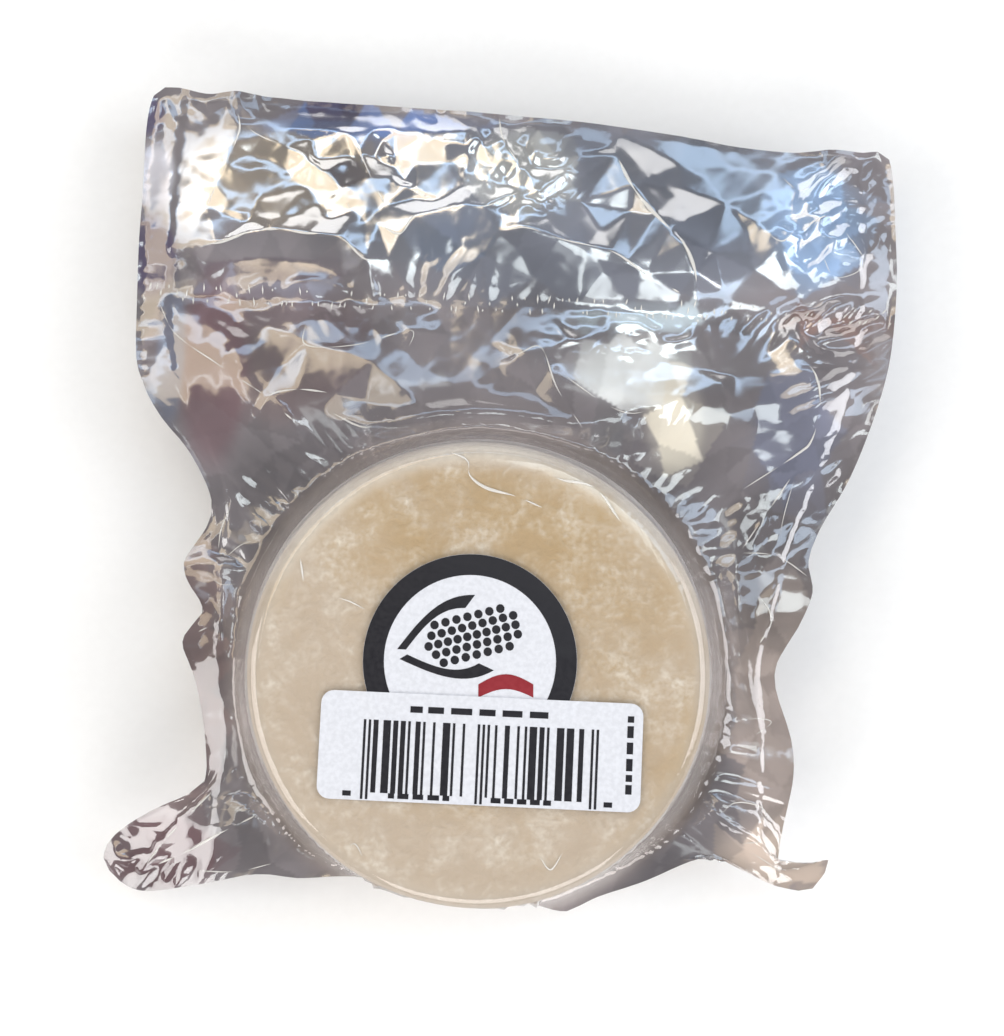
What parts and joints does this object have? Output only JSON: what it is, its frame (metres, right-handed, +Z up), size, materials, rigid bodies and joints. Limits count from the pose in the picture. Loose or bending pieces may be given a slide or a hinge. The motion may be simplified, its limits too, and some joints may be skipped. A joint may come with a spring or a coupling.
{
  "type": "vacuum-sealed pouch of arepas",
  "caption": "Round corn cakes stacked and sealed under vacuum in a clear pouch, with a round label and a bar label on the face; it lies flat, loose end and corners drooping.",
  "frame": {"origin": "centre of the stack's flat underside, on the surface that the pack lies on", "axes": "+Z up out of the labelled face, +Y towards the pouch's open top, +X to the right as the labels are read"},
  "size_m": [0.2056, 0.2148, 0.0481],
  "materials": {
    "clear_film": "clear glossy film, creased, over corn cakes",
    "label_paper": "smooth white label paper",
    "label_ink": "black print",
    "corn_dough": "cooked corn dough, cream with golden patches"
  },
  "bodies": {
    "root": {"sealed_pouch": "clear_film", "round_label": "label_paper", "code_label": "label_paper"}
  },
  "joints": []
}
